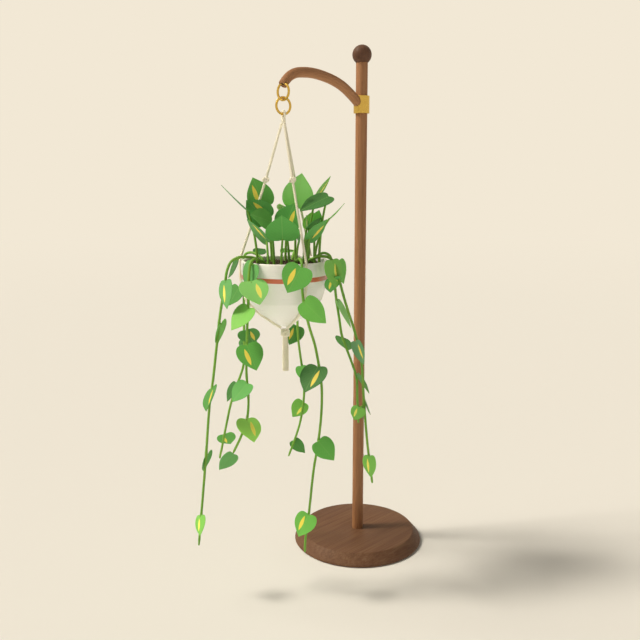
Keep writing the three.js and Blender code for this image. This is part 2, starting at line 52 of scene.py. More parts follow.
# One socket of a material. Sums of sockets are written as expressions.
class Wire:
    def __init__(self, tree, socket=None):
        self.tree = tree
        self.socket = socket

    def node(self, kind, settings=None, sockets=None, out=0):
        made = self.tree.nodes.new("ShaderNode" + kind)
        for name, value in (settings or {}).items():
            if name == "stops":
                ramp = made.color_ramp
                while len(ramp.elements) < len(value):
                    ramp.elements.new(0.5)
                for element, (place, colour) in zip(ramp.elements, value):
                    element.position = place
                    element.color = colour
            else:
                setattr(made, name, value)
        for name, value in (sockets or {}).items():
            if isinstance(value, Wire):
                self.tree.links.new(value.socket, made.inputs[name])
            else:
                made.inputs[name].default_value = value
        return Wire(self.tree, made.outputs[out] if made.outputs else None)

    def maths(self, operation, *values):
        return self.node("Math", {"operation": operation}, dict(enumerate(values)))

    def vector(self, operation, *values, out=0):
        return self.node("VectorMath", {"operation": operation}, dict(enumerate(values)), out)

    def __add__(self, other): return self.maths("ADD", self, other)
    def __radd__(self, other): return self.maths("ADD", other, self)
    def __sub__(self, other): return self.maths("SUBTRACT", self, other)
    def __rsub__(self, other): return self.maths("SUBTRACT", other, self)
    def __mul__(self, other): return self.maths("MULTIPLY", self, other)
    def __rmul__(self, other): return self.maths("MULTIPLY", other, self)

    def sine(self): return self.maths("SINE", self)
    def size(self): return self.maths("ABSOLUTE", self)

    def rise(self, low, high):  # 0 below low, 1 above high, smooth between
        return self.node("MapRange", {"interpolation_type": "SMOOTHSTEP"},
                         {"Value": self, "From Min": low, "From Max": high})

    def mix(self, share, first, second):  # colours
        return self.node("Mix", {"data_type": "RGBA"}, {0: share, 6: first, 7: second}, 2)

    def parts(self):  # x, y, z of a vector
        made = self.tree.nodes.new("ShaderNodeSeparateXYZ")
        self.tree.links.new(self.socket, made.inputs[0])
        return [Wire(self.tree, out) for out in made.outputs]

    def stretched(self, scale):
        return self.node("Mapping", None, {"Vector": self, "Scale": scale})

    def cloud(self, scale, detail=2, rough=0.5):
        return self.node("TexNoise", None, {"Vector": self, "Scale": scale, "Detail": detail,
                                            "Roughness": rough})

    def cells(self, scale):
        return self.node("TexVoronoi", None, {"Vector": self, "Scale": scale})


def startMaterial(name):
    material = bpy.data.materials.new(name)
    material.use_nodes = True
    material.node_tree.nodes.clear()
    return material, Wire(material.node_tree)


def finishMaterial(start, colour, rough, bump, depth, fixed):  # the bump's depth is in metres
    normal = start.node("Bump", None, {"Height": bump, "Distance": depth, "Strength": 1.0})
    shader = start.node("BsdfPrincipled", None,
                        {"Base Color": colour, "Roughness": rough, "Normal": normal, **fixed})
    start.node("OutputMaterial", None, {"Surface": shader})


def placeOf(start):
    return start.node("TexCoord", out=3)


def attribute(start, name, out=1):
    return start.node("Attribute", {"attribute_name": name}, None, out)


def shade(red, green, blue):  # a screen colour of 0 to 255, made linear
    def linear(c):
        c /= 255
        return c / 12.92 if c <= 0.04045 else ((c + 0.055) / 1.055) ** 2.4
    return (linear(red), linear(green), linear(blue), 1)


# The grain runs along z of the "straight" attribute, which is the piece as it was before bending.
def woodFinish(name, tones):
    material, start = startMaterial(name)
    along = attribute(start, "straight")
    figure = along.stretched((1, 1, 0.06)).cloud(95, 4, 0.6)
    years = along.stretched((1, 1, 0.02))
    rings = (years.cloud(160, 2) * 26 + years.cloud(30, 1) * 40).sine()
    pores = along.stretched((1, 1, 0.025)).cloud(900, 2, 0.7).rise(0.56, 0.7)
    stops = [(0.3, tones["dark"]), (0.52, tones["mid"]), (0.72, tones["light"])]
    colour = start.node("ValToRGB", {"stops": stops}, {"Fac": figure * 0.75 + rings * 0.09 + 0.1})
    colour = start.mix(pores * tones["pores"], colour, tones["pore"])
    finishMaterial(start, colour, figure * 0.16 + tones["rough"], figure * 0.3 - pores * 0.7, 0.00012,
                   {"Specular IOR Level": 0.14, "Coat Weight": tones["coat"], "Coat Roughness": 0.35})
    return material


wood = woodFinish("Oiled walnut", {
    "dark": shade(150, 105, 72), "mid": shade(164, 118, 83), "light": shade(174, 129, 92),
    "pore": shade(118, 80, 54), "pores": 0.25, "rough": 0.5, "coat": 0.02,
})
darkWood = woodFinish("Dark walnut", {
    "dark": shade(98, 68, 50), "mid": shade(110, 79, 58), "light": shade(120, 90, 67),
    "pore": shade(74, 50, 38), "pores": 0.3, "rough": 0.5, "coat": 0.02,
})
ballWood = woodFinish("Stained walnut", {
    "dark": shade(86, 58, 45), "mid": shade(97, 67, 51), "light": shade(106, 76, 58),
    "pore": shade(64, 42, 33), "pores": 0.3, "rough": 0.44, "coat": 0.04,
})

brassLook = {"clean": shade(206, 172, 86), "dull": shade(184, 142, 62), "rough": 0.2}


def brassFinish():
    material, start = startMaterial("Satin brass")
    place = placeOf(start)
    tarnish = place.cloud(60, 4, 0.6).rise(0.45, 0.75)
    lines = place.stretched((1, 1, 12)).cloud(700, 2, 0.6)
    colour = start.mix(tarnish * 0.5, brassLook["clean"], brassLook["dull"])
    rough = lines * 0.14 + tarnish * 0.1 + brassLook["rough"]
    finishMaterial(start, colour, rough, lines, 0.00002, {"Metallic": 1.0})
    return material


ironLook = {"dark": shade(64, 63, 64), "light": shade(92, 90, 90), "rough": 0.55}


def ironFinish():
    material, start = startMaterial("Cast iron")
    skin = placeOf(start).cloud(420, 4, 0.65)
    colour = start.mix(skin, ironLook["dark"], ironLook["light"])
    finishMaterial(start, colour, skin * 0.2 + ironLook["rough"], skin, 0.0004, {"Metallic": 0.7})
    return material


cottonLook = {"clean": shade(254, 251, 238), "aged": shade(248, 243, 222), "creaseShade": shade(226, 214, 178),
              "rough": 0.92, "sheen": 0.25}


# Three yarns are laid round each other as geometry. Their own fibres are in the bump, and the grooves between
# the fibres carry a painted shade.
def cottonFinish():
    material, start = startMaterial("Cotton cord")
    along = attribute(start, "straight")
    x, y, z = along.parts()
    turn = start.maths("ARCTAN2", y, x)
    fibres = (turn * 5 + z * 5200).sine() * 0.5 + along.cloud(3200, 2, 0.6)
    colour = start.mix(placeOf(start).cloud(35, 3), cottonLook["clean"], cottonLook["aged"])
    # painted shade: where the fibres dip, the cord's colour is darkened towards the crease shade
    colour = start.mix(fibres.rise(0.1, 1.0), start.mix(0.25, colour, cottonLook["creaseShade"]), colour)
    finishMaterial(start, colour, cottonLook["rough"], fibres, 0.0001,
                   {"Specular IOR Level": 0.15, "Sheen Weight": cottonLook["sheen"], "Sheen Roughness": 0.6})
    return material


glazeLook = {  # heights in metres above the floor
    "white": shade(252, 252, 252), "cool": shade(246, 248, 246), "speck": shade(216, 208, 188),
    "rim": shade(244, 240, 230), "paint": shade(206, 104, 70), "thinPaint": shade(222, 122, 86),
    "stripeFoot": 0.6515, "stripeTop": 0.6607, "stripeEdge": 0.0004, "rimFoot": 0.6865, "rough": 0.24,
}


def glazeFinish():
    look = glazeLook
    material, start = startMaterial("Glazed earthenware")
    place = placeOf(start)
    height = place.parts()[2]
    wobble = place.cloud(22, 2)
    level = height + wobble * 0.0012 - 0.0006
    fromFoot = level.rise(look["stripeFoot"] - look["stripeEdge"], look["stripeFoot"] + look["stripeEdge"])
    fromTop = level.rise(look["stripeTop"] - look["stripeEdge"], look["stripeTop"] + look["stripeEdge"])
    stripe = fromFoot * (1 - fromTop)
    wash = place.stretched((1, 1, 9)).cloud(40, 3, 0.6)
    body = start.mix(place.cloud(14, 3), look["cool"], look["white"])
    specks = 1 - place.cells(420).rise(0.1, 0.2)
    body = start.mix(specks * 0.3, body, look["speck"])
    worn = height.rise(look["rimFoot"] - 0.001, look["rimFoot"] + 0.002)
    body = start.mix(worn * 0.35, body, look["rim"])
    paint = start.mix(wash, look["paint"], look["thinPaint"])
    throwing = (height * 1600 + wobble * 3).sine()
    finishMaterial(start, start.mix(stripe, body, paint), wash * 0.1 + look["rough"], throwing * 0.25 + wash,
                   0.00007, {"Coat Weight": 0.25, "Coat Roughness": 0.12})
    return material


soilLook = {"stops": [(0.3, shade(46, 37, 30)), (0.55, shade(78, 64, 52)), (0.75, shade(114, 96, 78))],
            "rough": 0.95}


def soilFinish():
    material, start = startMaterial("Potting soil")
    crumbs = placeOf(start).cloud(260, 5, 0.7)
    colour = start.node("ValToRGB", {"stops": soilLook["stops"]}, {"Fac": crumbs})
    finishMaterial(start, colour, soilLook["rough"], crumbs, 0.001, {"Specular IOR Level": 0.2})
    return material


leafLook = {"vein": shade(168, 204, 120), "blotch": (0.7, 0.8, 0.6), "rough": 0.46}


# A blade carries its greens, its streak and its veins as attributes of its corners. The greens hold painted
# light and shade beside the leaf's own tone.
def leafFinish():
    material, start = startMaterial("Pothos leaf")
    green = attribute(start, "green", 0)
    cream = attribute(start, "cream", 0)
    alongStreak, acrossStreak, streaked = attribute(start, "streak").parts()
    alongBlade, acrossBlade, _ = attribute(start, "bladePlace").parts()
    place = placeOf(start)
    ragged = place.cloud(420, 2) * 0.2 - 0.1
    lens = (1 - alongStreak * alongStreak - acrossStreak.size() + ragged).rise(0.0, 0.12) * streaked
    out = acrossBlade.size()
    midrib = 1 - out.rise(0.0, 0.02)
    veins = ((alongBlade - out * 0.9) * 52).sine().rise(0.86, 1.0)
    veins = veins * (1 - out.rise(0.3, 0.46)) * out.rise(0.01, 0.05)
    mottle = place.cloud(70, 3, 0.6)
    # painted light and shade: the green and cream attributes are lighter or darker with how each blade is lit
    colour = start.mix(mottle * 0.22, green, start.vector("MULTIPLY", green, leafLook["blotch"]))
    colour = start.mix(midrib * 0.22 + veins * 0.07, colour, leafLook["vein"])
    colour = start.mix(lens, colour, cream)
    finishMaterial(start, colour, mottle * 0.12 + leafLook["rough"],
                   mottle * 0.25 - midrib * 0.6 - veins * 0.3, 0.00018, {"Specular IOR Level": 0.16})
    return material


stemLook = {"green": shade(102, 164, 60), "flush": shade(140, 186, 76), "rough": 0.45}


def stemFinish():
    material, start = startMaterial("Pothos stem")
    streaks = attribute(start, "straight").stretched((1, 1, 0.05)).cloud(900, 3, 0.6)
    flush = placeOf(start).cloud(24, 2).rise(0.35, 0.75)
    colour = start.mix(streaks * 0.5 + flush * 0.5, stemLook["green"], stemLook["flush"])
    finishMaterial(start, colour, streaks * 0.1 + stemLook["rough"], streaks, 0.00015,
                   {"Specular IOR Level": 0.2})
    return material


brass = brassFinish()
iron = ironFinish()
cotton = cottonFinish()
glazed = glazeFinish()
soilSkin = soilFinish()
leafSkin = leafFinish()
stemSkin = stemFinish()
print("finishes made")


def smoothRoute(points, perSpan=6):  # the curve through the points, as a list of stops
    stops = [Vector(point) for point in points]
    stops = [2 * stops[0] - stops[1], *stops, 2 * stops[-1] - stops[-2]]
    line = []
    for a, b, c, d in zip(stops, stops[1:], stops[2:], stops[3:]):
        ab, bc, cd = ((far - near).length ** 0.5 for near, far in ((a, b), (b, c), (c, d)))
        leave = ((b - a) / ab - (c - a) / (ab + bc) + (c - b) / bc) * bc
        arrive = ((c - b) / bc - (d - b) / (bc + cd) + (d - c) / cd) * bc
        for step in range(perSpan):
            t = step / perSpan
            line.append(b * (2 * t ** 3 - 3 * t ** 2 + 1) + leave * (t ** 3 - 2 * t ** 2 + t)
                        + c * (3 * t ** 2 - 2 * t ** 3) + arrive * (t ** 3 - t ** 2))
    return line + [stops[-2]]


def evenly(line, spacing):  # the same line with its stops a set way apart
    stops, left = [line[0]], spacing
    for near, far in zip(line, line[1:]):
        span = (far - near).length
        walked = 0
        while span - walked > left:
            walked += left
            stops.append(near.lerp(far, walked / span))
            left = spacing
        left -= span - walked
    return stops + [line[-1]]


def placesAlong(line, closed=False):  # a frame at each stop, z along the line, turning least
    places, across = [], None
    for i, stop in enumerate(line):
        before = line[i - 1] if i or closed else stop
        after = line[(i + 1) % len(line)] if i + 1 < len(line) or closed else stop
        ahead = (after - before).normalized()
        across = ahead.orthogonal() if across is None else across - ahead * across.dot(ahead)
        across.normalize()
        frameAxes = Matrix((across, ahead.cross(across), ahead)).transposed().to_4x4()
        places.append(Matrix.Translation(stop) @ frameAxes)
    return places


def sweep(line, radius, sides, closed=False):  # radius is a number or a number for each stop
    bm = bmesh.new()
    straight = bm.verts.layers.float_vector.new("straight")
    radii = radius if isinstance(radius, list) else [radius] * len(line)
    places = placesAlong(line, closed)
    loop = bmesh.ops.create_circle(bm, segments=sides, radius=1, cap_ends=not closed)["verts"]
    for corner in loop:
        corner[straight] = (*(corner.co.xy * radii[0] * 0.001), 0)
    firstEdges = edges = [edge for edge in bm.edges]
    pose = places[0] @ Matrix.Scale(radii[0], 4)
    bmesh.ops.transform(bm, matrix=pose, verts=loop)
    walked = 0
    for i in range(1, len(line)):
        made = bmesh.ops.extrude_edge_only(bm, edges=edges)["geom"]
        loop = [part for part in made if isinstance(part, bmesh.types.BMVert)]
        inLoop = set(loop)
        edges = [part for part in made
                 if isinstance(part, bmesh.types.BMEdge) and inLoop.issuperset(part.verts)]
        nextPose = places[i] @ Matrix.Scale(radii[i], 4)
        bmesh.ops.transform(bm, matrix=nextPose @ pose.inverted(), verts=loop)
        pose = nextPose
        walked += (line[i] - line[i - 1]).length
        for corner in loop:
            corner[straight] = (*corner[straight].xy, walked * 0.001)
    if closed:
        bmesh.ops.bridge_loops(bm, edges=firstEdges + edges)
    else:
        bmesh.ops.contextual_create(bm, geom=edges)
    bmesh.ops.recalc_face_normals(bm, faces=bm.faces)
    return bm


def join(*parts):  # several bmeshes made one
    whole = bmesh.new()
    mesh = bpy.data.meshes.new("joining")
    for part in parts:
        part.to_mesh(mesh)
        whole.from_mesh(mesh)
        part.free()
    bpy.data.meshes.remove(mesh)
    return whole


def turnedBody(profile, steps):  # turned from the radius and height of each corner
    bm = bmesh.new()
    straight = bm.verts.layers.float_vector.new("straight")
    corners = [bm.verts.new((radius, 0, height)) for radius, height in profile]
    edges = [bm.edges.new(pair) for pair in zip(corners, corners[1:])]
    bmesh.ops.spin(bm, geom=corners + edges, cent=(0, 0, 0), axis=(0, 0, 1), angle=math.tau,
                   steps=steps, use_merge=True)
    bmesh.ops.remove_doubles(bm, verts=bm.verts, dist=1e-4)
    bmesh.ops.recalc_face_normals(bm, faces=bm.faces)
    for corner in bm.verts:
        corner[straight] = corner.co * 0.001
    return bm


def easeEdges(bm, width, sharp=35, segments=3):
    edges = [edge for edge in bm.edges
             if len(edge.link_faces) == 2 and edge.calc_face_angle(0) > math.radians(sharp)]
    bmesh.ops.bevel(bm, geom=edges, offset=width, offset_type="OFFSET", segments=segments,
                    affect="EDGES", profile=0.5, material=-1, clamp_overlap=True)


def makePiece(name, bm, material, nodes, place=toMetres, sharp=40):
    bmesh.ops.transform(bm, matrix=place, verts=bm.verts)
    mesh = bpy.data.meshes.new(name)
    bm.to_mesh(mesh)
    bm.free()
    mesh.shade_smooth()
    mesh.set_sharp_from_angle(angle=math.radians(sharp))
    for skin in material if isinstance(material, list) else [material]:
        mesh.materials.append(skin)
    made = bpy.data.objects.new(name, mesh)
    bpy.context.scene.collection.objects.link(made)
    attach(made, "root")
    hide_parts(*nodes)
    return made


def carve(made, bm, operation):  # cuts a body in millimetres out of a piece, or adds it
    bmesh.ops.transform(bm, matrix=toMetres, verts=bm.verts)
    toolMesh = bpy.data.meshes.new("tool")
    bm.to_mesh(toolMesh)
    bm.free()
    tool = bpy.data.objects.new("tool", toolMesh)
    bpy.context.scene.collection.objects.link(tool)
    cutting = made.modifiers.new("cut", "BOOLEAN")
    cutting.object = tool
    cutting.operation = operation
    cutting.solver = "EXACT"
    cutMesh = bpy.data.meshes.new_from_object(made.evaluated_get(bpy.context.evaluated_depsgraph_get()))
    made.modifiers.clear()
    old, made.data = made.data, cutMesh
    cutMesh.name = made.name
    for leftOver in (old, toolMesh):
        bpy.data.meshes.remove(leftOver)


base = {"radius": 150, "footRadius": 146, "footHeight": 3, "rimRadius": 149, "rimHeight": 7,
        "topRadius": 131.5, "top": 27.5, "chamfer": 2.5, "recessRadius": 120.3, "recessTop": 12.3,
        "socketFoot": 18.5, "ease": 1.1, "easeFrom": 25, "steps": 128}


def makeBase():
    socket, top = pole["radius"] + gap, base["top"]
    bm = turnedBody([
        (0, base["recessTop"]), (base["recessRadius"], base["recessTop"]), (base["recessRadius"], 0),
        (base["footRadius"], 0), (base["radius"], base["footHeight"]), (base["rimRadius"], base["rimHeight"]),
        (base["topRadius"] + base["chamfer"], top - base["chamfer"]), (base["topRadius"], top),
        (socket, top), (socket, base["socketFoot"]), (0, base["socketFoot"]),
    ], base["steps"])
    easeEdges(bm, base["ease"], base["easeFrom"])
    straight = bm.verts.layers.float_vector["straight"]
    for corner in bm.verts:  # one board, its grain from left to right
        corner[straight] = Vector((corner.co.y, corner.co.z, corner.co.x)) * 0.001
    makePiece("standBase", bm, darkWood, ["base"])


pole = {"radius": 12.75, "top": 1095, "ease": 0.5, "steps": 72}


def makePole():
    radius, foot, top = pole["radius"], base["socketFoot"] + gap, pole["top"]
    boreRadius, boreFoot = finial["dowelRadius"] + gap, finial["dowelFoot"] - gap
    bm = turnedBody([
        (0, foot), (radius, foot), (radius, top), (boreRadius, top), (boreRadius, boreFoot), (0, boreFoot),
    ], pole["steps"])
    easeEdges(bm, pole["ease"])
    makePiece("standPole", bm, wood, ["pole"])


finial = {"radius": 20.8, "centre": 1111, "dowelRadius": 5, "dowelFoot": 1079, "rows": 28, "steps": 64}


def makeFinial():
    radius, centre, rows = finial["radius"], finial["centre"], finial["rows"]
    dowel, foot, seat = finial["dowelRadius"], finial["dowelFoot"], pole["top"] + gap
    low = math.asin((seat - centre) / radius)
    profile = [(0, foot), (dowel, foot), (dowel, seat)]
    for row in range(rows):
        angle = low + (math.pi / 2 - low) * row / rows
        profile.append((radius * math.cos(angle), centre + radius * math.sin(angle)))
    profile.append((0, centre + radius))
    bm = turnedBody(profile, finial["steps"])
    makePiece("standFinial", bm, ballWood, ["finial"], sharp=30)


collar = {"radius": 17.3, "foot": 989, "top": 1026, "ease": 0.8, "steps": 96}


def makeCollar():
    bore, radius, foot, top = pole["radius"] + gap, collar["radius"], collar["foot"], collar["top"]
    bm = turnedBody([(bore, foot), (radius, foot), (radius, top), (bore, top), (bore, foot)], collar["steps"])
    easeEdges(bm, collar["ease"], segments=4)
    makePiece("brassCollar", bm, brass, ["collar"])


arm = {"radius": 10.3, "taper": 0.12, "taperFrom": 0.7, "ease": 0.8, "easeFrom": 60, "sides": 40,
       "stopGap": 4, "tenonRadius": 5, "tenonTip": 4.75, "tenonRoot": 8, "tenonHeight": 1013,
       "grooveGap": 0.5, "saddleMore": 20}
armRoute = [  # out from the pole, height
    (12, 1011), (17, 1015), (38, 1029), (62, 1042), (88, 1051), (116, 1057),
    (146, 1060.5), (174, 1060), (195, 1057), (211, 1050), (222, 1041), (230, 1032),
]


def makeArm():
    line = evenly(smoothRoute([(-out, 0, height) for out, height in armRoute], 12), arm["stopGap"])
    radii = []
    for i in range(len(line)):
        thinned = max(0, i / len(line) - arm["taperFrom"]) / (1 - arm["taperFrom"])
        radii.append(arm["radius"] * (1 - arm["taper"] * thinned))
    limb = sweep(line, radii, arm["sides"])
    easeEdges(limb, arm["ease"], arm["easeFrom"])
    groove = ringBody(ring["wire"] + arm["grooveGap"])
    bmesh.ops.transform(groove, matrix=upperRingPlace, verts=groove.verts)
    tenonEnds = (-collar["radius"] - arm["tenonRoot"], -arm["tenonTip"])
    tenon = sweep([Vector((x, 0, arm["tenonHeight"])) for x in tenonEnds], arm["tenonRadius"], 24)
    bore = collar["radius"] + gap
    foot, top = collar["foot"] - arm["saddleMore"], collar["top"] + arm["saddleMore"]
    saddle = turnedBody([(0, foot), (bore, foot), (bore, top), (0, top)], collar["steps"])
    made = makePiece("standArm", limb, wood, ["arm"])
    for tool in (saddle, groove):
        carve(made, tool, "DIFFERENCE")
    carve(made, tenon, "UNION")


ring = {"radius": 16, "wire": 2.4, "upperHeight": 1019, "upperTurn": 90, "lowerHeight": 992.1,
        "lowerTurn": -11, "sides": 24, "steps": 96}


def ringPlace(height, turn):
    return Matrix.Translation((-armReach, 0, height)) @ Matrix.Rotation(math.radians(turn), 4, "Z")


upperRingPlace = ringPlace(ring["upperHeight"], ring["upperTurn"])
lowerRingPlace = ringPlace(ring["lowerHeight"], ring["lowerTurn"])


def ringBody(wire):  # a ring in the XZ plane, round the origin
    bm = bmesh.new()
    section = bmesh.ops.create_circle(bm, segments=ring["sides"], radius=wire)["verts"]
    bmesh.ops.translate(bm, vec=(ring["radius"], 0, 0), verts=section)
    bmesh.ops.spin(bm, geom=bm.verts[:] + bm.edges[:], cent=(0, 0, 0), axis=(0, 1, 0), angle=math.tau,
                   steps=ring["steps"], use_merge=True)
    bmesh.ops.remove_doubles(bm, verts=bm.verts, dist=1e-4)
    bmesh.ops.recalc_face_normals(bm, faces=bm.faces)
    return bm


def makeRings():
    makePiece("upperRing", ringBody(ring["wire"]), brass, ["ring_upper"], toMetres @ upperRingPlace)
    makePiece("lowerRing", ringBody(ring["wire"]), brass, ["ring_lower"], toMetres @ lowerRingPlace)


makeBase()
makePole()
makeFinial()
makeCollar()
makeArm()
makeRings()
print("stand made")


cord = {"radius": 2.7, "pitch": 11, "tightPitch": 9, "yarns": 3, "yarnOut": 0.5, "yarnRadius": 0.54,
        "sides": 8, "stopGap": 1.3}


def laidCord(line, radius, closed=False, pitch=cord["pitch"]):  # three yarns laid round each other
    line = evenly(line, cord["stopGap"])
    if closed:
        line = line[:-1]
        around = sum((b - a).length for a, b in zip(line, line[1:] + line[:1]))
        pitch = around / max(1, round(around / pitch))
    places = placesAlong(line, closed)
    out = cord["yarnOut"] * radius
    yarns = []
    for yarn in range(cord["yarns"]):
        walked, strand = 0, []
        for i, place in enumerate(places):
            walked += (line[i] - line[i - 1]).length if i else 0
            angle = math.tau * (walked / pitch + yarn / cord["yarns"])
            strand.append(place @ Vector((out * math.cos(angle), out * math.sin(angle), 0)))
        yarns.append(sweep(strand, radius * cord["yarnRadius"], cord["sides"], closed))
    return join(*yarns)


def coil(radius, foot, top, turns, steps=28):  # a winding from the foot up
    total = int(turns * steps)
    return [Vector((radius * math.cos(math.tau * i / steps), radius * math.sin(math.tau * i / steps),
                    foot + (top - foot) * i / total)) for i in range(total + 1)]


eye = {"radius": 5.4, "height": 976.1, "steps": 48, "wrapFoot": 960.2, "wrapTop": 970.4, "coreRadius": 2.8,
       "coilFoot": 961.4, "coilTop": 969.4, "coilRadius": 3.1, "coilTurns": 4.5, "coilCord": 1.35}


def makeHangerEye():  # the loop hangs square to the lower ring
    turn = Matrix.Rotation(math.radians(ring["lowerTurn"] - plantTurn), 3, "Z")
    loop = []
    for i in range(eye["steps"] + 1):
        angle = math.tau * i / eye["steps"]
        across, rise = eye["radius"] * math.cos(angle), eye["radius"] * math.sin(angle)
        loop.append(turn @ Vector((0, across, eye["height"] + rise)))
    winding = coil(eye["coilRadius"], eye["coilFoot"], eye["coilTop"], eye["coilTurns"])
    wound = sweep(winding, eye["coilCord"], cord["sides"])
    core = turnedBody([(0, eye["wrapFoot"]), (eye["coreRadius"], eye["wrapFoot"]),
                       (eye["coreRadius"], eye["wrapTop"]), (0, eye["wrapTop"])], 16)
    bm = join(laidCord(loop, cord["radius"], True, cord["tightPitch"]), wound, core)
    makePiece("hangerEye", bm, cotton, ["hanger_eye"], plantPlace)


leg = {"angles": (180, -60, 55), "perSpan": 16, "knotSpread": 5.6, "knotCore": 6.2, "knotStops": 60}
knotPlace = (36.6, 849)
legRoute = [  # out from the middle, height
    (3.4, 959), (20, 903.5), knotPlace, (64, 767), (85.5, 706), (90, 692.5), (91.2, 684),
    (91.2, 668), (90.9, 651), (85.4, 625), (79, 604.8), (67.5, 592.2), (56.3, 579.4),
    (38.8, 567), (20, 554.2), (9, 547.6),
]


def overhandKnot(centre, spread):  # a trefoil, seen from above
    line = []
    for i in range(leg["knotStops"] + 1):
        t = math.tau * i / leg["knotStops"]
        line.append(centre + Vector((math.sin(t) + 2 * math.sin(2 * t), math.cos(t) - 2 * math.cos(2 * t),
                                     -1.5 * math.sin(3 * t))) * (spread / 3))
    return line


def makeLegs():
    line = smoothRoute([(out, 0, height) for out, height in legRoute], leg["perSpan"])
    centre = Vector((knotPlace[0], 0, knotPlace[1]))
    knot = overhandKnot(centre, leg["knotSpread"])
    for number, angle in enumerate(leg["angles"], 1):
        core = bmesh.new()
        bmesh.ops.create_uvsphere(core, u_segments=20, v_segments=12, radius=leg["knotCore"],
                                  matrix=Matrix.Translation(centre))
        tied = laidCord(knot, cord["radius"], True, cord["tightPitch"])
        bm = join(laidCord(line, cord["radius"]), tied, core)
        makePiece(f"hangerLeg{number}", bm, cotton, [f"hanger_leg_{number}"],
                  plantPlace @ Matrix.Rotation(math.radians(angle), 4, "Z"))


gathering = {"coilFoot": 530.8, "coilTop": 543.2, "coilRadius": 7.4, "coilTurns": 3.5, "coilSteps": 40,
             "coilCord": 2.2, "bandCord": 2}
gatheringCore = [(0, 529), (6, 529), (6.6, 541), (5, 545), (0, 545)]
gatheringBand = [(-4, -7, 530), (2, -9.2, 534), (6.4, -6.8, 541), (5.4, -2, 544.5)]


def makeGatheringKnot():
    winding = coil(gathering["coilRadius"], gathering["coilFoot"], gathering["coilTop"],
                   gathering["coilTurns"], gathering["coilSteps"])
    wound = laidCord(winding, gathering["coilCord"])
    core = turnedBody(gatheringCore, 32)
    band = laidCord(smoothRoute(gatheringBand, 8), gathering["bandCord"])
    bm = join(wound, core, band)
    makePiece("gatheringKnot", bm, cotton, ["gathering_knot"], plantPlace)


tassel = {"strands": 34, "radius": 5.9, "narrowed": 0.72, "bound": 0.92, "top": 530, "boundHeight": 518,
          "middle": 500, "low": 480, "foot": 456, "ragged": 1.6, "drift": 0.5, "laidFrom": 4,
          "strand": 1.25, "pitch": 7, "innerStrand": 1.2, "turn": 2.39996, "seed": 3}


def makeTassel():  # the strands are packed like seeds in a flower head
    draw = random.Random(tassel["seed"])
    drift = tassel["drift"]
    strands = []
    for i in range(tassel["strands"]):
        out = tassel["radius"] * math.sqrt((i + 0.5) / tassel["strands"])
        x, y = out * math.cos(i * tassel["turn"]), out * math.sin(i * tassel["turn"])
        foot = tassel["foot"] + draw.uniform(0, tassel["ragged"])
        stops = [(x * tassel["narrowed"], y * tassel["narrowed"], tassel["top"]),
                 (x * tassel["bound"], y * tassel["bound"], tassel["boundHeight"])]
        stops += [(x + draw.uniform(-drift, drift), y + draw.uniform(-drift, drift), height)
                  for height in (tassel["middle"], tassel["low"], foot)]
        if out > tassel["laidFrom"]:
            strands.append(laidCord(smoothRoute(stops, 6), tassel["strand"], pitch=tassel["pitch"]))
        else:
            strands.append(sweep(smoothRoute(stops, 3), tassel["innerStrand"], 6))
    makePiece("tassel", join(*strands), cotton, ["tassel"], plantPlace)


makeHangerEye()
makeLegs()
makeGatheringKnot()
makeTassel()
print("hanger made")


pot = {"radius": 88, "rim": 689, "wall": 6, "foot": 552, "sideTop": 670, "insideTop": 668,
       "cornerEase": 0.15, "perSpan": 6, "steps": 144}
potSide = [(10, 552), (18, 557.5), (37, 570), (54, 582), (76, 607), (82, 626), (88, 655)]
potCorner = 4  # the stop of the side where the cone meets the bowl
potLip = [(0, 2.2), (0.5, 1), (1.6, 0.1), (3, 0), (4.5, 0.3), (5.7, 1.2), (6, 3)]  # inward, below the rim


def innerSide():  # the inside follows the outside at the wall's thickness
    line = potSide[2:]
    inside = []
    for i, (radius, height) in enumerate(line):
        before, after = line[max(i - 1, 0)], line[min(i + 1, len(line) - 1)]
        slope = math.atan2(after[1] - before[1], after[0] - before[0])
        inside.append((radius - pot["wall"] * math.sin(slope), height + pot["wall"] * math.cos(slope)))
    return inside


def makePot():
    radius, ease, perSpan = pot["radius"], pot["cornerEase"], pot["perSpan"]
    cone = smoothRoute(potSide[:potCorner + 1], perSpan)
    bowl = smoothRoute(potSide[potCorner:], perSpan)
    corner = cone.pop()
    outside = [*cone, corner.lerp(cone[-1], ease), corner.lerp(bowl[1], ease), *bowl[1:]]
    inside = smoothRoute(innerSide(), perSpan)
    profile = [(0, pot["foot"]), *map(tuple, outside), (radius, pot["sideTop"])]
    profile += [(radius - inward, pot["rim"] - below) for inward, below in potLip]
    profile += [(radius - pot["wall"], pot["insideTop"]), *map(tuple, inside[::-1]), (0, inside[0].y)]
    makePiece("glazedPot", turnedBody(profile, pot["steps"]), glazed, ["pot"], plantPlace, 50)


soil = {"height": 680, "crown": 3, "gap": 0.4, "rows": 26, "steps": 112, "swell": 1.6, "swellScale": 0.16,
        "edgeFade": 12, "crumbs": 520, "crumbMargin": 3, "crumbSizes": (0.7, 2.4), "seed": 11}


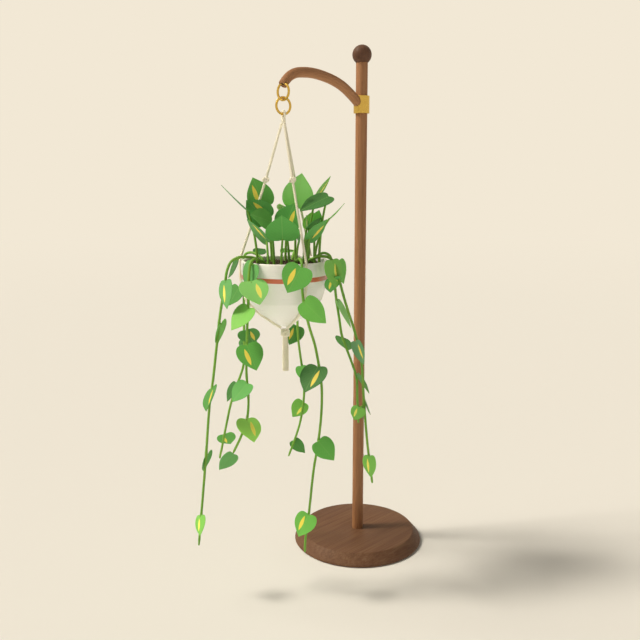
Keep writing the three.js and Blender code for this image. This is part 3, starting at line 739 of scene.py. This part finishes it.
def makeSoil():
    edge = pot["radius"] - pot["wall"] - soil["gap"]
    inside = [(radius - soil["gap"], height + soil["gap"]) for radius, height in innerSide()]

    def crownAt(share):  # the height at a share of the way out
        return soil["height"] + soil["crown"] * (1 - share ** 2)

    shares = [1 - row / soil["rows"] for row in range(soil["rows"] + 1)]
    top = [(edge * share, crownAt(share)) for share in shares]
    bm = turnedBody([(0, inside[0][1]), *inside, *top], soil["steps"])
    for corner in bm.verts:
        if corner.co.z > soil["height"] - 0.5:
            share = corner.co.xy.length / edge
            swell = max(-1, min(1, noise.fractal(corner.co * soil["swellScale"], 1, 2, 4)))
            corner.co.z += soil["swell"] * swell * min(1, max(0, 1 - share) * soil["edgeFade"])
    draw = random.Random(soil["seed"])
    crumbs = bmesh.new()
    for _ in range(soil["crumbs"]):
        out = (edge - soil["crumbMargin"]) * math.sqrt(draw.random())
        angle = draw.uniform(0, math.tau)
        size = draw.uniform(*soil["crumbSizes"])
        height = crownAt(out / edge) + size / 4
        place = Matrix.Translation((out * math.cos(angle), out * math.sin(angle), height))
        turn = Matrix.Rotation(draw.uniform(0, math.tau), 4, draw.choice("XYZ"))
        squash = Matrix.Diagonal((size, size * draw.uniform(0.6, 1), size * draw.uniform(0.5, 0.9), 1))
        crumb = bmesh.ops.create_icosphere(crumbs, subdivisions=1, radius=1)["verts"]
        for corner in crumb:
            corner.co = place @ turn @ squash @ (corner.co * draw.uniform(0.75, 1.2))
    makePiece("pottingSoil", join(bm, crumbs), soilSkin, ["soil"], plantPlace, 180)


makePot()
makeSoil()
print("pot and soil made")


# These greens are partly each leaf's own tone and partly painted light and shade: shaded and the darker
# greens are painted shade, light, bright and lime are painted sheen and light shining through the blade, and
# each streak colour is lighter or darker with the same painted light.
greens = {  # each with the colour of a streak on it
    "shaded": (shade(60, 118, 54), shade(222, 204, 84)),
    "deep": (shade(80, 148, 68), shade(228, 206, 84)),
    "dark": (shade(94, 173, 84), shade(244, 226, 94)),
    "mid": (shade(104, 183, 84), shade(252, 234, 98)),
    "fresh": (shade(118, 198, 88), shade(255, 240, 96)),
    "pale": (shade(108, 178, 102), shade(250, 236, 108)),
    "lime": (shade(130, 202, 90), shade(255, 248, 118)),
    "light": (shade(156, 232, 130), shade(255, 252, 124)),
    "bright": (shade(168, 238, 110), shade(255, 250, 112)),
    "teal": (shade(102, 160, 108), shade(246, 228, 100)),
}
blade = {"along": 18, "across": 7, "thickness": 0.8, "fold": 0.05, "crease": 0.02, "droop": 0.03,
         "wave": 0.35, "waves": 9}
halfHeart = [(0, 0), (-0.05, 0.17), (-0.03, 0.35), (0.11, 0.47), (0.34, 0.5), (0.57, 0.42), (0.77, 0.25),
             (1, 0)]
heartLine = smoothRoute(halfHeart, 8)
streak = {"along": 0.44, "out": 0.13, "length": 0.34, "width": 0.085, "lean": -0.03}


def onHeart(share):  # the half outline at a share of the way from the notch to the tip
    step = share * (len(heartLine) - 1)
    low = min(int(step), len(heartLine) - 2)
    return heartLine[low].lerp(heartLine[low + 1], step - low)


def growBlade(notch, tip, width, face, green, side):  # side is the streaked half: 1, -1 or 0 for none
    start, end = Vector(notch), Vector(tip)
    length = (end - start).length
    along = (end - start).normalized()
    up = (Vector(face) - along * along.dot(Vector(face))).normalized()
    axes = Matrix((along, up.cross(along), up)).transposed().to_4x4()
    leafGreen, cream = greens[green]

    bm = bmesh.new()
    layers = bm.verts.layers
    places = layers.float_vector.new("bladePlace")
    streaks = layers.float_vector.new("streak")
    greenLayer = layers.float_color.new("green")
    creamLayer = layers.float_color.new("cream")
    bmesh.ops.create_grid(bm, x_segments=blade["along"], y_segments=2 * blade["across"], size=1)
    for corner in bm.verts:
        share, out = (corner.co.x + 1) / 2, corner.co.y
        rim = onHeart(share)
        x = share + (rim.x - share) * abs(out)
        y = rim.y * out
        crease = math.sqrt(y * y + blade["crease"] ** 2) - blade["crease"]
        wave = blade["wave"] * math.sin(share * blade["waves"] + start.x) * abs(out)
        height = blade["fold"] * crease * width - blade["droop"] * x * x * length + wave
        corner.co = (x * length, y * width, height)
        corner[places] = (x, y, length * 0.001)
        leaning = side * y - streak["out"] - streak["lean"] * (x - streak["along"])
        corner[streaks] = ((x - streak["along"]) / streak["length"], leaning / streak["width"], abs(side))
        corner[greenLayer] = leafGreen
        corner[creamLayer] = cream
    bmesh.ops.remove_doubles(bm, verts=bm.verts, dist=0.02)
    bmesh.ops.recalc_face_normals(bm, faces=bm.faces)
    bmesh.ops.translate(bm, vec=(0, 0, blade["thickness"] / 2), verts=bm.verts)
    bmesh.ops.solidify(bm, geom=bm.faces[:], thickness=blade["thickness"])
    bmesh.ops.recalc_face_normals(bm, faces=bm.faces)
    bmesh.ops.transform(bm, matrix=Matrix.Translation(start) @ axes, verts=bm.verts)
    return bm


stem = {"radius": 2.8, "sides": 10, "foot": 668.3, "throat": 685, "intoBlade": 0.04, "standingSteps": 14,
        "standingTaper": 0.28, "standingBend": 0.6, "vineStart": 1.04, "vineTaper": 0.16, "swelling": 1.2,
        "vineTip": 0.6, "petiole": 1.6, "petioleSides": 8, "petioleSteps": 5, "petioleRise": 0.12}


def stalkEnd(notch, tip):
    return Vector(notch).lerp(Vector(tip), stem["intoBlade"])


def bow(start, middle, end, steps):  # a curve that sets out for the middle and comes in from it
    shares = [i / steps for i in range(steps + 1)]
    return [start * (1 - t) ** 2 + middle * 2 * t * (1 - t) + end * t * t for t in shares]


def growStem(line, radii, sides=stem["sides"]):
    bm = sweep(line, radii, sides)
    for face in bm.faces:
        face.material_index = 1
    return bm


# where the stalk leaves the soil, notch, tip, width, the way the face looks, green, streaked half
standingLeaves = [
    ((-27, 18), (-42, 14, 797), (-64, 14, 854), 54, (0.05, -1, 0.05), "mid", 1),
    ((-22, 4), (-36, -2, 770), (-76, -6, 809), 56, (-0.1, -1, 0.1), "dark", -1),
    ((-54, -14), (-71, -31, 791), (-123, -33, 838), 54, (-0.89, -0.18, -1), "teal", 0),
    ((-30, -53), (-32, -38, 729), (-72, -42, 773), 40, (-0.61, -0.53, -0.59), "pale", -1),
    ((-20, -26), (-24, -32, 767), (-62, -62, 785), 54, (-0.1, -0.75, 0.65), "mid", 0),
    ((0, 34), (8, 24, 778), (-9, 0, 803), 50, (-0.3, -0.5, 0.8), "bright", 0),
    ((-4, -56), (-1, -57, 734), (-1, -88, 784), 66, (0, 1, 0.6), "dark", 0),
    ((9, 6), (1, -6, 754), (20, -14, 803), 56, (-0.2, -0.9, 0.3), "dark", -1),
    ((20, 44), (24, 31, 794), (35, 15, 862), 66, (-0.24, -0.95, -0.18), "light", 0),
    ((70, -5), (89, -28, 817), (32, -52, 791), 56, (-0.21, -0.45, 0.87), "shaded", 0),
    ((48, 27), (62, 22, 813), (94, 30, 856), 40, (0.79, -0.28, -0.54), "lime", -1),
    ((60, 4), (90, 8, 771), (123, 16, 801), 48, (0.67, -0.09, -0.74), "lime", 0),
    ((46, -2), (49, -14, 754), (75, -18, 776), 40, (0.57, -0.37, -0.74), "dark", 0),
    ((46, -34), (49, -34, 733), (87, -34, 772), 48, (0.6, -0.54, -0.59), "dark", -1),
    ((60, 38), (60, 37, 750), (70, 34, 788), 32, (-0.3, -0.9, 0.2), "fresh", 0),
    ((40, 44), (51, 43, 748), (57, 43, 785), 34, (0, -1, 0.3), "bright", 0),
    ((38, 16), (45, 17, 750), (45, 13, 779), 24, (1, 0.2, 0.1), "deep", 1),
    ((24, -30), (30, -32, 729), (33, -47, 756), 32, (-1, -0.3, 0.2), "shaded", 0),
]


def makeStandingLeaves():
    steps = stem["standingSteps"]
    radii = [stem["radius"] * (1 - stem["standingTaper"] * i / steps) for i in range(steps + 1)]
    for number, (root, notch, tip, width, face, green, side) in enumerate(standingLeaves, 1):
        end = stalkEnd(notch, tip)
        foot = Vector((*root, stem["foot"]))
        bend = Vector((*root, foot.z + (end.z - foot.z) * stem["standingBend"]))
        stalk = growStem(bow(foot, bend, end, steps), radii)
        makePiece(f"leaf{number:02d}", join(growBlade(notch, tip, width, face, green, side), stalk),
                  [leafSkin, stemSkin], [f"leaf_{number:02d}"], plantPlace, 60)


# each vine: where it leaves the soil, its route, and its leaves as above
vines = [
    ((-46, -22), [
        (-57, -30, 695), (-74, -42, 699), (-89, -54, 699), (-102, -62, 692), (-110, -68, 674),
        (-114, -71, 646), (-123, -75, 598), (-132, -79, 528), (-142, -85, 448), (-147, -88, 418),
        (-158, -95, 295), (-166, -101, 212), (-175, -108, 117),
    ], [
        ((-111, -78, 656), (-110, -93, 603), 53, (-0.82, -0.56, 0.14), "pale", -1),
        ((-90, -46, 693), (-112, -34, 656), 36, (-0.85, -0.33, 0.4), "shaded", 0),
        ((-123, -73, 571), (-133, -52, 522), 50, (0.93, -0.23, -0.28), "fresh", 0),
        ((-142, -88, 443), (-151, -128, 408), 50, (-0.8, -0.29, 0.52), "deep", 1),
        ((-155, -84, 304), (-165, -72, 261), 43, (0.92, -0.26, -0.29), "dark", 0),
        ((-169, -106, 180), (-170, -126, 146), 39, (-0.78, -0.51, 0.35), "lime", -1),
    ]),
    ((-36, -42), [
        (-46, -56, 694), (-56, -71, 698), (-62, -84, 691), (-65, -91, 668), (-67, -92, 614),
        (-70, -88, 570), (-72, -85, 530), (-74, -83, 484), (-73, -82, 447), (-71, -82, 416),
        (-75, -83, 375), (-88, -85, 339), (-103, -88, 308),
    ], [
        ((-56, -84, 690), (-74, -76, 642), 44, (-0.68, -0.72, 0.13), "pale", 0),
        ((-60, -102, 658), (-41, -132, 619), 58, (0.26, -0.7, 0.66), "light", 1),
        ((-65, -98, 607), (-99, -117, 567), 53, (-0.45, -0.61, 0.66), "lime", 0),
        ((-72, -82, 559), (-61, -54, 525), 44, (0.1, -0.78, -0.62), "deep", 1),
        ((-71, -96, 532), (-50, -124, 489), 53, (0.18, -0.79, 0.58), "mid", -1),
        ((-72, -92, 454), (-100, -114, 423), 45, (-0.32, -0.61, 0.72), "dark", 0),
        ((-75, -93, 380), (-56, -130, 346), 52, (0.41, -0.5, 0.76), "bright", 1),
        ((-103, -92, 307), (-131, -98, 275), 40, (0.52, -0.8, -0.31), "pale", 0),
    ]),
    ((-46, 26), [
        (-58, 36, 695), (-73, 47, 699), (-86, 56, 693), (-91, 61, 670), (-91, 64, 610),
        (-92, 66, 530), (-95, 68, 451), (-105, 70, 419), (-124, 74, 365), (-137, 78, 310),
        (-147, 81, 263), (-154, 83, 231),
    ], [
        ((-60, 48, 698), (-44, 68, 705), 30, (0.1, -0.4, 1), "shaded", 0),
        ((-100, 56, 624), (-123, 48, 586), 44, (-0.52, -0.72, 0.46), "deep", 0),
        ((-88, 76, 508), (-80, 92, 474), 40, (-0.2, 0.9, 0.3), "pale", 0),
        ((-111, 62, 412), (-131, 46, 375), 44, (-0.73, -0.39, 0.56), "shaded", 0),
        ((-143, 90, 285), (-133, 117, 251), 42, (0.2, -0.8, -0.57), "mid", -1),
    ]),
    ((20, -44), [
        (28, -62, 695), (33, -79, 699), (37, -92, 692), (38, -98, 668), (38, -99, 640),
        (43, -99, 604), (51, -99, 570), (62, -99, 533), (70, -100, 491), (75, -100, 452),
        (75, -100, 401), (69, -100, 339), (59, -100, 275), (50, -100, 189), (42, -100, 124),
        (41, -100, 98),
    ], [
        ((36, -107, 686), (11, -138, 642), 58, (0.1, -0.84, 0.54), "mid", -1),
        ((42, -107, 620), (83, -116, 579), 55, (-0.42, -0.88, -0.22), "fresh", 0),
        ((68, -108, 491), (42, -143, 450), 58, (-0.37, -0.57, 0.73), "shaded", 1),
        ((69, -108, 339), (100, -125, 306), 46, (0.22, -0.77, 0.6), "mid", 0),
        ((49, -109, 184), (29, -134, 149), 44, (-0.09, -0.79, 0.61), "fresh", -1),
    ]),
    ((14, 58), [
        (16, 70, 694), (18, 84, 698), (20, 96, 691), (21, 102, 668), (21, 104, 600),
        (22, 104, 544), (24, 105, 498), (28, 106, 464), (35, 107, 411), (36, 108, 371),
        (28, 109, 312), (18, 110, 276), (0, 112, 225),
    ], [
        ((8, 88, 700), (-14, 104, 694), 34, (0, 0.4, 1), "fresh", 0),
        ((26, 112, 640), (44, 126, 600), 44, (0.3, 0.9, 0.2), "dark", 0),
        ((21, 112, 528), (4, 106, 487), 43, (0.21, -0.98, 0.05), "deep", -1),
        ((31, 96, 441), (40, 93, 406), 34, (-0.45, -0.89, -0.04), "mid", 0),
        ((34, 118, 351), (9, 118, 316), 38, (-0.1, -0.99, 0.08), "lime", 1),
        ((11, 120, 260), (37, 112, 232), 40, (-0.52, -0.82, -0.23), "deep", 0),
    ]),
    ((56, 18), [
        (66, 22, 694), (79, 26, 700), (92, 29, 694), (98, 30, 672), (102, 30, 640),
        (106, 30, 604), (113, 30, 558), (118, 30, 526), (127, 30, 500), (141, 30, 462),
        (150, 30, 432), (152, 30, 390), (154, 30, 348), (155, 30, 332),
    ], [
        ((111, 36, 681), (123, 44, 633), 44, (0.83, -0.55, 0.12), "fresh", 0),
        ((109, 26, 599), (139, 20, 544), 42, (0.84, -0.23, 0.48), "light", 0),
        ((120, 40, 518), (132, 66, 483), 43, (-0.55, -0.58, -0.6), "deep", 0),
        ((152, 26, 441), (178, 14, 403), 40, (0.79, -0.12, 0.6), "mid", 0),
        ((163, 28, 368), (166, 48, 333), 28, (0.99, -0.16, 0), "shaded", 0),
    ]),
    ((46, -8), [
        (60, -18, 694), (76, -28, 699), (92, -38, 696), (104, -47, 680), (112, -52, 648),
        (119, -54, 622), (128, -55, 592), (138, -56, 562), (148, -57, 526), (156, -58, 484),
        (159, -59, 441), (163, -60, 384), (170, -62, 310), (176, -63, 264), (180, -63, 233),
    ], [
        ((94, -54, 693), (104, -60, 639), 56, (0.78, -0.6, 0.2), "lime", 1),
        ((99, -60, 661), (93, -40, 627), 37, (0.41, -0.75, -0.52), "dark", -1),
        ((144, -66, 533), (159, -77, 488), 50, (-0.87, -0.46, -0.18), "teal", 1),
        ((152, -68, 397), (142, -64, 368), 30, (-0.1, -0.99, -0.1), "lime", -1),
        ((162, -54, 407), (176, -50, 376), 30, (0.91, -0.06, 0.4), "deep", 0),
        ((173, -70, 294), (175, -82, 252), 41, (-0.79, -0.59, 0.13), "lime", -1),
    ]),
]


def makeVines():
    for number, (root, route, leaves) in enumerate(vines, 1):
        line = smoothRoute([(*root, stem["foot"]), (*root, stem["throat"]), *route], 8)
        radii = [stem["radius"] * (stem["vineStart"] - stem["vineTaper"] * i / len(line))
                 for i in range(len(line))]
        joints = []
        for notch, tip, *_ in leaves:
            end = stalkEnd(notch, tip)
            nearest = min(range(len(line)), key=lambda i: (line[i] - end).length)
            radii[nearest] *= stem["swelling"]  # where a leaf grows
            joints.append((line[nearest], end))
        radii[-1] *= stem["vineTip"]
        parts = [growStem(line, radii)]
        for (near, end), leaf in zip(joints, leaves):
            middle = near.lerp(end, 0.5) + Vector((0, 0, stem["petioleRise"] * (end - near).length))
            petiole = bow(near, middle, end, stem["petioleSteps"])
            parts += [growStem(petiole, stem["petiole"], stem["petioleSides"]), growBlade(*leaf)]
        makePiece(f"vine{number}", join(*parts), [leafSkin, stemSkin], [f"vine_{number}"],
                  plantPlace, 60)


makeStandingLeaves()
makeVines()
print("leaves and vines made")

# The ballast keeps the model's shape and takes the iron.
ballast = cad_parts["base_ballast"]
ballast.data.materials.clear()
ballast.data.materials.append(iron)


studio = {"cream": shade(242, 232, 213), "ambient": 0.22, "floorTone": 0.8, "floorSize": 38, "fadeFrom": 1,
          "fadeTo": 9, "surroundRadius": 40}


def addStage(name, bm, material):
    mesh = bpy.data.meshes.new(name)
    bm.to_mesh(mesh)
    bm.free()
    mesh.materials.append(material)
    made = bpy.data.objects.new(name, mesh)
    bpy.context.scene.collection.objects.link(made)
    return made


def makeFloor():  # it fades into the surround, so that no horizon shows
    material, start = startMaterial("Studio floor")
    tone = studio["floorTone"]
    place = placeOf(start)
    far = place.vector("LENGTH", place, out=1).rise(studio["fadeFrom"], studio["fadeTo"])
    near = start.node("BsdfDiffuse", None, {"Color": (tone, tone, tone, 1)})
    glow = start.node("Emission", None, {"Color": studio["cream"]})
    faded = start.node("MixShader", None, {0: far, 1: near, 2: glow})
    start.node("OutputMaterial", None, {"Surface": faded})
    bm = bmesh.new()
    bmesh.ops.create_grid(bm, x_segments=1, y_segments=1, size=studio["floorSize"])
    addStage("studioFloor", bm, material).visible_shadow = False  # the floor's own light comes through it


def makeSurround():  # a cream surround that only the camera and reflections see
    material, start = startMaterial("Studio surround")
    glow = start.node("Emission", None, {"Color": studio["cream"]})
    start.node("OutputMaterial", None, {"Surface": glow})
    bm = bmesh.new()
    bmesh.ops.create_icosphere(bm, subdivisions=4, radius=studio["surroundRadius"])
    made = addStage("studioSurround", bm, material)
    made.visible_diffuse = made.visible_shadow = made.visible_transmission = False


suns = {  # strength, spread in degrees, and how far the light goes right, into the picture and down
    "keySun": (2.23, 11.5, (0.669, 0.05, 0.743)),
    "broadSun": (1.3, 34, (0.62, -0.05, 0.78)),
    "frontSun": (0.3, 70, (0.1, 0.95, 0.3)),
    "bounceSun": (0.85, 70, (0, 0.6, -0.8)),  # thrown up by the pale floor
}


def makeLight():
    world = bpy.data.worlds.new("Studio")
    world.use_nodes = True
    world.node_tree.nodes["Background"].inputs[0].default_value = studio["cream"]
    world.node_tree.nodes["Background"].inputs[1].default_value = studio["ambient"]
    bpy.context.scene.world = world
    right, inward, down = Vector((0.7071, -0.7071, 0)), Vector((0.7071, 0.7071, 0)), Vector((0, 0, -1))
    for name, (strength, spread, aim) in suns.items():
        lamp = bpy.data.lights.new(name, "SUN")
        lamp.energy = strength
        lamp.color = [channel / studio["cream"][0] for channel in studio["cream"][:3]]
        lamp.angle = math.radians(spread)
        made = bpy.data.objects.new(name, lamp)
        ray = right * aim[0] + inward * aim[1] + down * aim[2]
        made.rotation_euler = ray.to_track_quat("-Z", "Y").to_euler()
        bpy.context.scene.collection.objects.link(made)


camera = {"lens": 43.456, "sensor": 36, "place": (-1.2874, -1.1602, 0.8643), "tilt": 79.16, "turn": -45,
          "farthest": 200}


def makeCamera():
    lens = bpy.data.cameras.new("Camera")
    lens.lens = camera["lens"]
    lens.sensor_width = camera["sensor"]
    lens.sensor_fit = "HORIZONTAL"
    lens.clip_end = camera["farthest"]
    made = bpy.data.objects.new("Camera", lens)
    made.location = camera["place"]
    made.rotation_euler = (math.radians(camera["tilt"]), 0, math.radians(camera["turn"]))
    bpy.context.scene.collection.objects.link(made)
    bpy.context.scene.camera = made


makeFloor()
makeSurround()
makeLight()
makeCamera()
bpy.context.scene.view_settings.view_transform = "Standard"
print("studio made")
